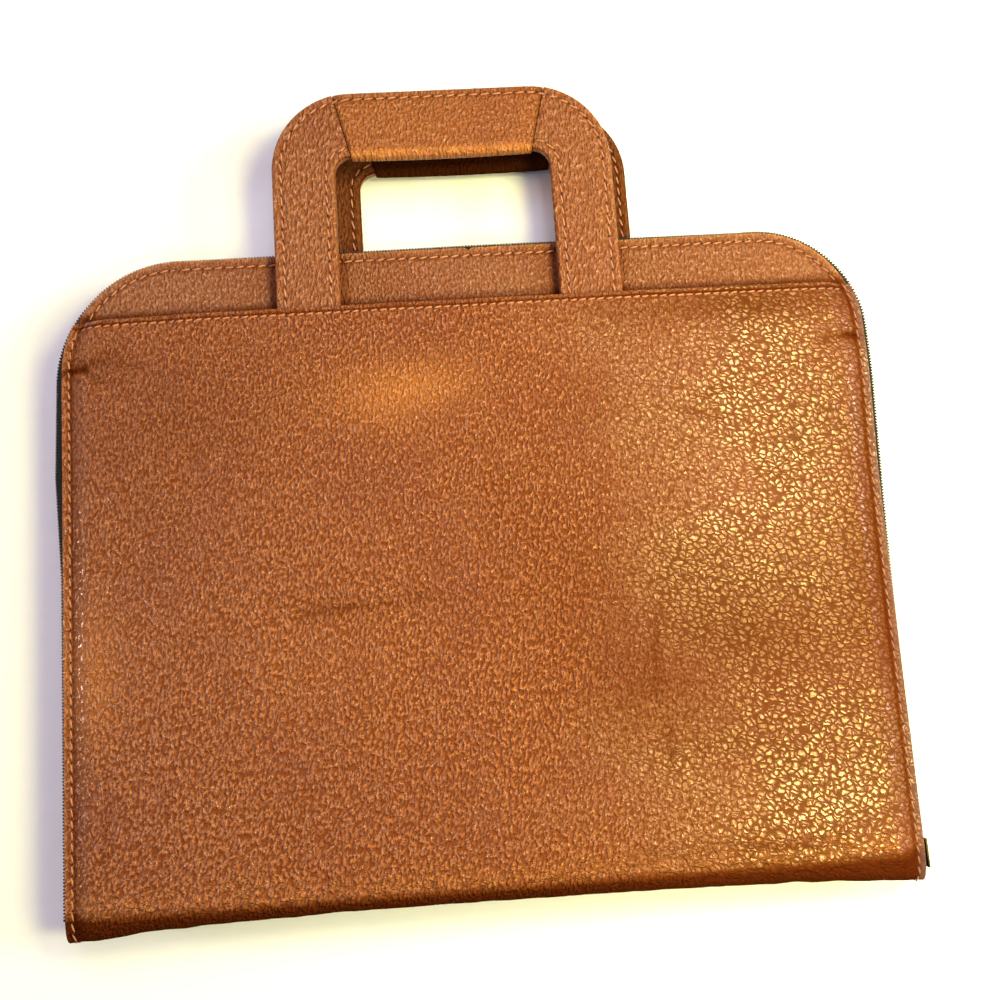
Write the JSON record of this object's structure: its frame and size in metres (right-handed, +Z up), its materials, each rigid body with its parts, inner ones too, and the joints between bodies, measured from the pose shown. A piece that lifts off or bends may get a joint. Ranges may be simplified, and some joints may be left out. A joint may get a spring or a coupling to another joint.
{
  "type": "leather binder bag",
  "caption": "Slim zip-round leather binder bag with full-width front and back pockets and stitched bow handles that slide out of them, lying on its back.",
  "frame": {"origin": "middle of the lying bag's box, on the surface under its back panel", "axes": "+X to the right across the bag, +Y from the spine towards the handles, +Z up out of the front face"},
  "size_m": [0.3658, 0.365, 0.0309],
  "materials": {
    "hide": "tan pebbled leather, semi-gloss",
    "handle_hide": "tan pebbled leather, stitched edges",
    "grip_hide": "tan pebbled leather, padded fold",
    "thread": "waxed polyester thread",
    "zip_tape": "black woven tape",
    "zip_coil": "dark nylon coil",
    "zip_metal": "dark nickel plate"
  },
  "bodies": {
    "bag": {"outer_wrap": "hide", "front_cover": "hide", "back_cover": "hide", "zip_tape_front": "zip_tape", "zip_tape_back": "zip_tape", "zip_chain": "zip_coil", "zip_slider": "zip_metal"},
    "front_bow": {"front_handle": "handle_hide", "front_grip": "grip_hide"},
    "back_bow": {"back_handle": "handle_hide", "back_grip": "grip_hide"}
  },
  "joints": [
    {"name": "front_handle_slide", "type": "slide", "parent": "bag", "child": "front_bow", "axis": [0, 1, 0], "range_m": [-0.067, 0]},
    {"name": "back_handle_slide", "type": "slide", "parent": "bag", "child": "back_bow", "axis": [0, 1, 0], "range_m": [-0.068, 0]}
  ]
}
